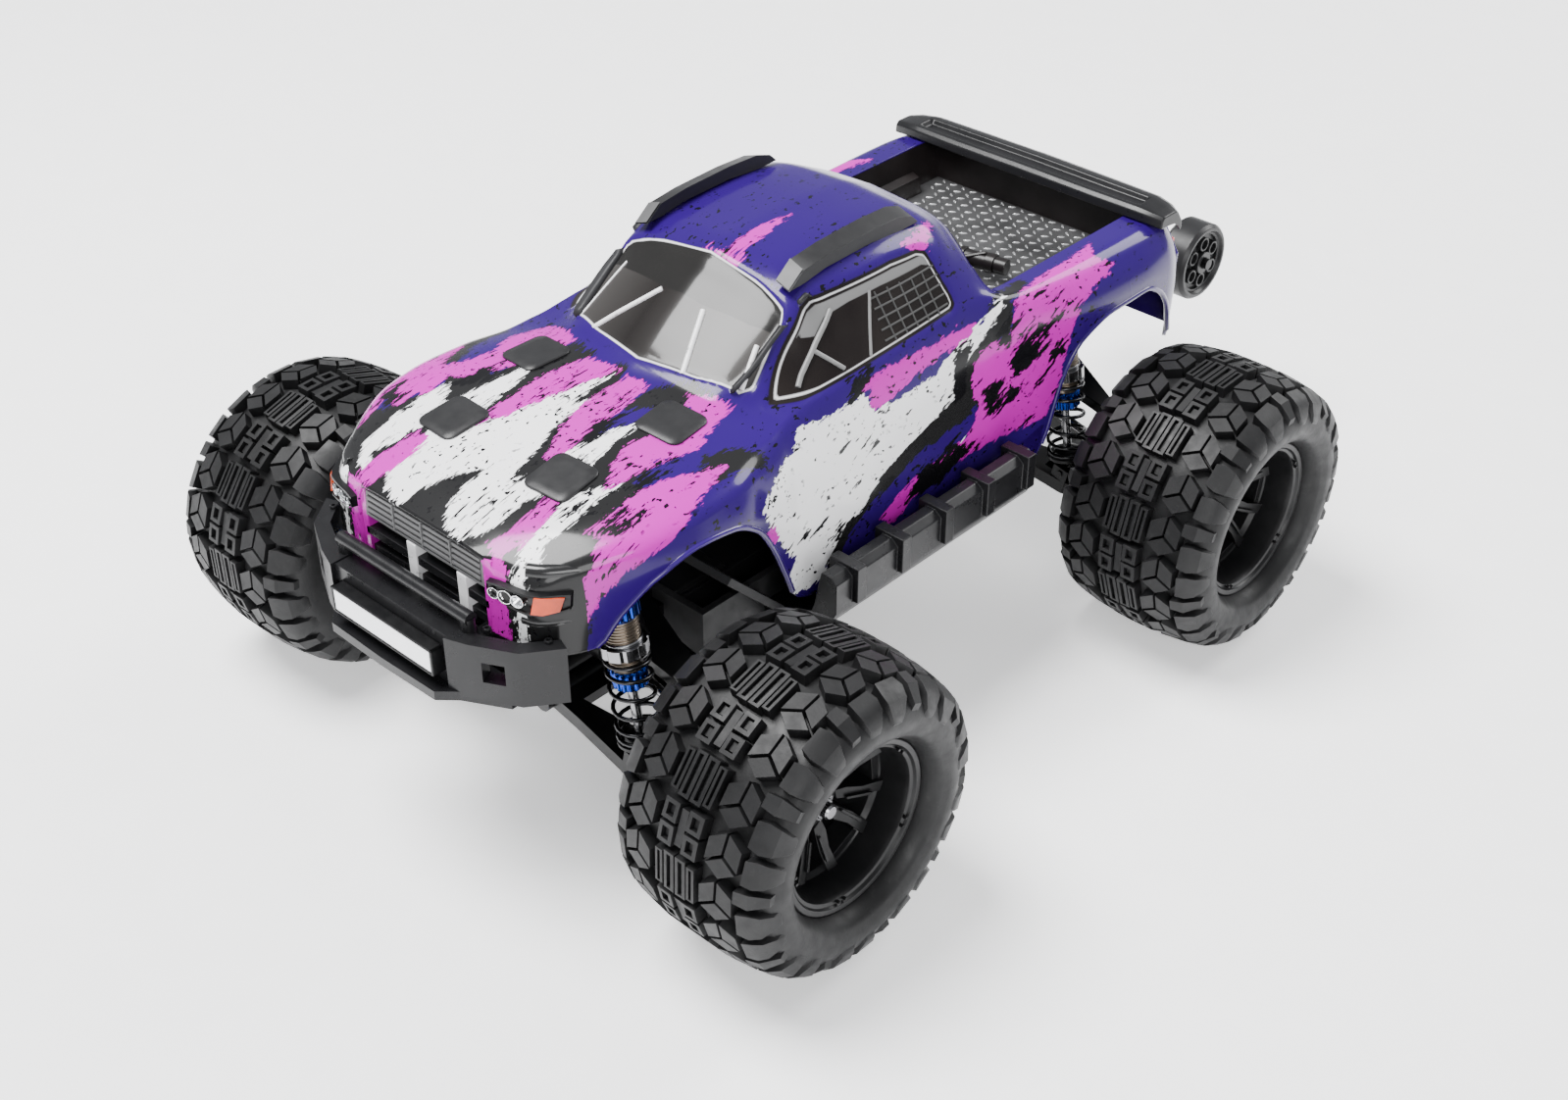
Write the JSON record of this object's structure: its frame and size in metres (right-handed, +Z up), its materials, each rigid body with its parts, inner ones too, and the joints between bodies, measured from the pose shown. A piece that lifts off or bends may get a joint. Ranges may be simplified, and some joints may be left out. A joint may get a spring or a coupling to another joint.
{
  "type": "rc monster truck",
  "caption": "Radio-controlled monster truck: working sprung arms, steering, driven shafts, oversize tyres and a lift-off pickup body.",
  "frame": {"origin": "on the ground, in the mirror plane, halfway between the axles", "axes": "+X towards the truck's left side, -Y towards its front, +Z up"},
  "size_m": [0.252, 0.3715, 0.152],
  "materials": {
    "tyre": "moulded rubber, semi-matt sidewalls and chunky tread",
    "rim_plastic": "satin moulded nylon",
    "arm_plastic": "glass-filled nylon with a fine grain",
    "tub_plastic": "grey glass-filled nylon",
    "bumper_plastic": "black moulded plastic",
    "shaft_steel": "ground steel",
    "spring_steel": "bright spring wire",
    "shock_aluminium": "blue anodised caps over a champagne anodised threaded body",
    "rod_plastic": "black moulded cup on a ground steel rod",
    "gear_brass": "machined",
    "motor_can": "zinc-plated can",
    "battery_wrap": "heat-shrink wrap",
    "electronics_case": "fine-textured case",
    "body_paint": "clear polycarbonate painted from inside: indigo, magenta, white and charcoal",
    "trim_plastic": "dark moulded trim",
    "headlight_chrome": "bright reflector behind clear lenses",
    "led_lens": "frosted white lens"
  },
  "bodies": {
    "chassis": {"chassis_tub": "tub_plastic", "gearboxes": "arm_plastic", "front_shock_tower": "arm_plastic", "rear_shock_tower": "arm_plastic", "front_bumper": "bumper_plastic", "light_bar": "led_lens", "wheelie_bar": "arm_plastic", "side_steps": "bumper_plastic", "battery": "battery_wrap", "motor": "motor_can", "steering_servo": "electronics_case", "control_box": "electronics_case"},
    "shell": {"body_shell": "body_paint", "roof_rails": "trim_plastic", "spoiler": "trim_plastic", "headlights": "headlight_chrome"},
    "steering_rack": {"steering_rack": "arm_plastic"},
    "centre_shaft": {"centre_shaft": "shaft_steel"},
    "pinion": {"pinion": "gear_brass"},
    "wheelie_wheels": {"wheelie_wheels": "arm_plastic"},
    "lower_arm_fl": {"lower_arm_fl": "arm_plastic"},
    "upper_arm_fl": {"upper_arm_fl": "arm_plastic"},
    "shock_rod_fl": {"shock_rod_fl": "rod_plastic"},
    "half_shaft_fl": {"half_shaft_fl": "shaft_steel"},
    "shock_body_fl": {"shock_body_fl": "shock_aluminium", "spring_fl": "spring_steel"},
    "wheel_fl": {"tyre_fl": "tyre", "rim_fl": "rim_plastic"},
    "c_hub_fl": {"c_hub_fl": "arm_plastic"},
    "knuckle_fl": {"knuckle_fl": "arm_plastic"},
    "tie_rod_l": {"tie_rod_l": "shaft_steel"},
    "lower_arm_fr": {"lower_arm_fr": "arm_plastic"},
    "upper_arm_fr": {"upper_arm_fr": "arm_plastic"},
    "shock_rod_fr": {"shock_rod_fr": "rod_plastic"},
    "half_shaft_fr": {"half_shaft_fr": "shaft_steel"},
    "shock_body_fr": {"shock_body_fr": "shock_aluminium", "spring_fr": "spring_steel"},
    "wheel_fr": {"tyre_fr": "tyre", "rim_fr": "rim_plastic"},
    "c_hub_fr": {"c_hub_fr": "arm_plastic"},
    "knuckle_fr": {"knuckle_fr": "arm_plastic"},
    "tie_rod_r": {"tie_rod_r": "shaft_steel"},
    "lower_arm_rl": {"lower_arm_rl": "arm_plastic"},
    "upper_arm_rl": {"upper_arm_rl": "arm_plastic"},
    "shock_rod_rl": {"shock_rod_rl": "rod_plastic"},
    "half_shaft_rl": {"half_shaft_rl": "shaft_steel"},
    "shock_body_rl": {"shock_body_rl": "shock_aluminium", "spring_rl": "spring_steel"},
    "wheel_rl": {"tyre_rl": "tyre", "rim_rl": "rim_plastic"},
    "hub_carrier_rl": {"hub_carrier_rl": "arm_plastic"},
    "lower_arm_rr": {"lower_arm_rr": "arm_plastic"},
    "upper_arm_rr": {"upper_arm_rr": "arm_plastic"},
    "shock_rod_rr": {"shock_rod_rr": "rod_plastic"},
    "half_shaft_rr": {"half_shaft_rr": "shaft_steel"},
    "shock_body_rr": {"shock_body_rr": "shock_aluminium", "spring_rr": "spring_steel"},
    "wheel_rr": {"tyre_rr": "tyre", "rim_rr": "rim_plastic"},
    "hub_carrier_rr": {"hub_carrier_rr": "arm_plastic"}
  },
  "joints": [
    {"name": "shell_lift", "type": "slide", "parent": "chassis", "child": "shell", "axis": [0, 0, 1], "range_m": [0, 0.09]},
    {"name": "steering", "type": "slide", "parent": "chassis", "child": "steering_rack", "axis": [1, 0, 0], "range_m": [-0.006, 0.006]},
    {"name": "centre_shaft_spin", "type": "hinge", "parent": "chassis", "child": "centre_shaft", "pos_m": [0, 0.062, 0.06], "axis": [0, 1, 0], "continuous": true},
    {"name": "pinion_spin", "type": "hinge", "parent": "chassis", "child": "pinion", "pos_m": [0.01767, 0.062, 0.06643], "axis": [0, 1, 0], "continuous": true},
    {"name": "wheelie_wheel_spin", "type": "hinge", "parent": "chassis", "child": "wheelie_wheels", "pos_m": [0, 0.201, 0.066], "axis": [1, 0, 0], "continuous": true},
    {"name": "suspension_fl", "type": "hinge", "parent": "chassis", "child": "lower_arm_fl", "pos_m": [0.018, -0.097, 0.044], "axis": [0, -1, 0], "range_deg": [-12, 24], "stiffness_Nm_per_rad": 0.9, "springref_deg": -7.64},
    {"name": "upper_arm_fl_swing", "type": "hinge", "parent": "chassis", "child": "upper_arm_fl", "pos_m": [0.018, -0.097, 0.072], "axis": [0, -1, 0], "range_deg": [-12, 24]},
    {"name": "c_hub_fl_swing", "type": "hinge", "parent": "lower_arm_fl", "child": "c_hub_fl", "pos_m": [0.066, -0.097, 0.033], "axis": [0, -1, 0], "range_deg": [-24, 12]},
    {"name": "knuckle_fl_steer", "type": "hinge", "parent": "c_hub_fl", "child": "knuckle_fl", "pos_m": [0.072, -0.097, 0.0465], "axis": [0, 0, 1], "range_deg": [-22, 22]},
    {"name": "tie_rod_l_swing", "type": "hinge", "parent": "steering_rack", "child": "tie_rod_l", "pos_m": [0.024, -0.081, 0.05763], "axis": [0, -1, 0], "range_deg": [-14.5, 28.5]},
    {"name": "wheel_fl_spin", "type": "hinge", "parent": "knuckle_fl", "child": "wheel_fl", "pos_m": [0.0985, -0.097, 0.0465], "axis": [1, 0, 0], "continuous": true},
    {"name": "shock_body_fl_tilt", "type": "hinge", "parent": "chassis", "child": "shock_body_fl", "pos_m": [0.044, -0.11, 0.097], "axis": [0, -1, 0], "range_deg": [-3, 3]},
    {"name": "shock_rod_fl_slide", "type": "slide", "parent": "shock_body_fl", "child": "shock_rod_fl", "axis": [-0.1587, 0, 0.9873], "range_m": [-0.0085, 0.0165], "deforming": ["spring_fl"]},
    {"name": "half_shaft_fl_swing", "type": "hinge", "parent": "chassis", "child": "half_shaft_fl", "pos_m": [0.024, -0.097, 0.0575], "axis": [0, -1, 0], "range_deg": [-13.5, 26]},
    {"name": "suspension_fr", "type": "hinge", "parent": "chassis", "child": "lower_arm_fr", "pos_m": [-0.018, -0.097, 0.044], "axis": [0, 1, 0], "range_deg": [-12, 24], "stiffness_Nm_per_rad": 0.9, "springref_deg": -7.64},
    {"name": "upper_arm_fr_swing", "type": "hinge", "parent": "chassis", "child": "upper_arm_fr", "pos_m": [-0.018, -0.097, 0.072], "axis": [0, 1, 0], "range_deg": [-12, 24]},
    {"name": "c_hub_fr_swing", "type": "hinge", "parent": "lower_arm_fr", "child": "c_hub_fr", "pos_m": [-0.066, -0.097, 0.033], "axis": [0, 1, 0], "range_deg": [-24, 12]},
    {"name": "knuckle_fr_steer", "type": "hinge", "parent": "c_hub_fr", "child": "knuckle_fr", "pos_m": [-0.072, -0.097, 0.0465], "axis": [0, 0, 1], "range_deg": [-22, 22]},
    {"name": "tie_rod_r_swing", "type": "hinge", "parent": "steering_rack", "child": "tie_rod_r", "pos_m": [-0.024, -0.081, 0.05763], "axis": [0, 1, 0], "range_deg": [-14.5, 28.5]},
    {"name": "wheel_fr_spin", "type": "hinge", "parent": "knuckle_fr", "child": "wheel_fr", "pos_m": [-0.0985, -0.097, 0.0465], "axis": [1, 0, 0], "continuous": true},
    {"name": "shock_body_fr_tilt", "type": "hinge", "parent": "chassis", "child": "shock_body_fr", "pos_m": [-0.044, -0.11, 0.097], "axis": [0, 1, 0], "range_deg": [-3, 3]},
    {"name": "shock_rod_fr_slide", "type": "slide", "parent": "shock_body_fr", "child": "shock_rod_fr", "axis": [0.1587, 0, 0.9873], "range_m": [-0.0085, 0.0165], "deforming": ["spring_fr"]},
    {"name": "half_shaft_fr_swing", "type": "hinge", "parent": "chassis", "child": "half_shaft_fr", "pos_m": [-0.024, -0.097, 0.0575], "axis": [0, 1, 0], "range_deg": [-13.5, 26]},
    {"name": "suspension_rl", "type": "hinge", "parent": "chassis", "child": "lower_arm_rl", "pos_m": [0.018, 0.097, 0.044], "axis": [0, -1, 0], "range_deg": [-12, 24], "stiffness_Nm_per_rad": 0.9, "springref_deg": -7.64},
    {"name": "upper_arm_rl_swing", "type": "hinge", "parent": "chassis", "child": "upper_arm_rl", "pos_m": [0.018, 0.097, 0.072], "axis": [0, -1, 0], "range_deg": [-12, 24]},
    {"name": "hub_carrier_rl_swing", "type": "hinge", "parent": "lower_arm_rl", "child": "hub_carrier_rl", "pos_m": [0.066, 0.097, 0.033], "axis": [0, -1, 0], "range_deg": [-24, 12]},
    {"name": "wheel_rl_spin", "type": "hinge", "parent": "hub_carrier_rl", "child": "wheel_rl", "pos_m": [0.0985, 0.097, 0.0465], "axis": [1, 0, 0], "continuous": true},
    {"name": "shock_body_rl_tilt", "type": "hinge", "parent": "chassis", "child": "shock_body_rl", "pos_m": [0.044, 0.088, 0.097], "axis": [0, -1, 0], "range_deg": [-3, 3]},
    {"name": "shock_rod_rl_slide", "type": "slide", "parent": "shock_body_rl", "child": "shock_rod_rl", "axis": [-0.1587, 0, 0.9873], "range_m": [-0.0085, 0.0165], "deforming": ["spring_rl"]},
    {"name": "half_shaft_rl_swing", "type": "hinge", "parent": "chassis", "child": "half_shaft_rl", "pos_m": [0.024, 0.097, 0.0575], "axis": [0, -1, 0], "range_deg": [-13.5, 26]},
    {"name": "suspension_rr", "type": "hinge", "parent": "chassis", "child": "lower_arm_rr", "pos_m": [-0.018, 0.097, 0.044], "axis": [0, 1, 0], "range_deg": [-12, 24], "stiffness_Nm_per_rad": 0.9, "springref_deg": -7.64},
    {"name": "upper_arm_rr_swing", "type": "hinge", "parent": "chassis", "child": "upper_arm_rr", "pos_m": [-0.018, 0.097, 0.072], "axis": [0, 1, 0], "range_deg": [-12, 24]},
    {"name": "hub_carrier_rr_swing", "type": "hinge", "parent": "lower_arm_rr", "child": "hub_carrier_rr", "pos_m": [-0.066, 0.097, 0.033], "axis": [0, 1, 0], "range_deg": [-24, 12]},
    {"name": "wheel_rr_spin", "type": "hinge", "parent": "hub_carrier_rr", "child": "wheel_rr", "pos_m": [-0.0985, 0.097, 0.0465], "axis": [1, 0, 0], "continuous": true},
    {"name": "shock_body_rr_tilt", "type": "hinge", "parent": "chassis", "child": "shock_body_rr", "pos_m": [-0.044, 0.088, 0.097], "axis": [0, 1, 0], "range_deg": [-3, 3]},
    {"name": "shock_rod_rr_slide", "type": "slide", "parent": "shock_body_rr", "child": "shock_rod_rr", "axis": [0.1587, 0, 0.9873], "range_m": [-0.0085, 0.0165], "deforming": ["spring_rr"]},
    {"name": "half_shaft_rr_swing", "type": "hinge", "parent": "chassis", "child": "half_shaft_rr", "pos_m": [-0.024, 0.097, 0.0575], "axis": [0, 1, 0], "range_deg": [-13.5, 26]}
  ],
  "couplings": [
    {"joint": "pinion_spin", "follows": "centre_shaft_spin", "ratio": -2.6154},
    {"joint": "upper_arm_fl_swing", "follows": "suspension_fl", "ratio": 1},
    {"joint": "c_hub_fl_swing", "follows": "suspension_fl", "ratio": -1},
    {"joint": "knuckle_fl_steer", "follows": "steering", "rad_per_m": -62.5},
    {"joint": "tie_rod_l_swing", "follows": "suspension_fl", "ratio": 1.144},
    {"joint": "shock_body_fl_tilt", "follows": "suspension_fl", "ratio": 0.0774},
    {"joint": "shock_rod_fl_slide", "follows": "suspension_fl", "m_per_rad": 0.03463},
    {"joint": "half_shaft_fl_swing", "follows": "suspension_fl", "ratio": 1.042},
    {"joint": "upper_arm_fr_swing", "follows": "suspension_fr", "ratio": 1},
    {"joint": "c_hub_fr_swing", "follows": "suspension_fr", "ratio": -1},
    {"joint": "knuckle_fr_steer", "follows": "steering", "rad_per_m": -62.5},
    {"joint": "tie_rod_r_swing", "follows": "suspension_fr", "ratio": 1.144},
    {"joint": "shock_body_fr_tilt", "follows": "suspension_fr", "ratio": 0.0774},
    {"joint": "shock_rod_fr_slide", "follows": "suspension_fr", "m_per_rad": 0.03463},
    {"joint": "half_shaft_fr_swing", "follows": "suspension_fr", "ratio": 1.042},
    {"joint": "upper_arm_rl_swing", "follows": "suspension_rl", "ratio": 1},
    {"joint": "hub_carrier_rl_swing", "follows": "suspension_rl", "ratio": -1},
    {"joint": "shock_body_rl_tilt", "follows": "suspension_rl", "ratio": 0.0774},
    {"joint": "shock_rod_rl_slide", "follows": "suspension_rl", "m_per_rad": 0.03463},
    {"joint": "half_shaft_rl_swing", "follows": "suspension_rl", "ratio": 1.042},
    {"joint": "upper_arm_rr_swing", "follows": "suspension_rr", "ratio": 1},
    {"joint": "hub_carrier_rr_swing", "follows": "suspension_rr", "ratio": -1},
    {"joint": "shock_body_rr_tilt", "follows": "suspension_rr", "ratio": 0.0774},
    {"joint": "shock_rod_rr_slide", "follows": "suspension_rr", "m_per_rad": 0.03463},
    {"joint": "half_shaft_rr_swing", "follows": "suspension_rr", "ratio": 1.042}
  ]
}
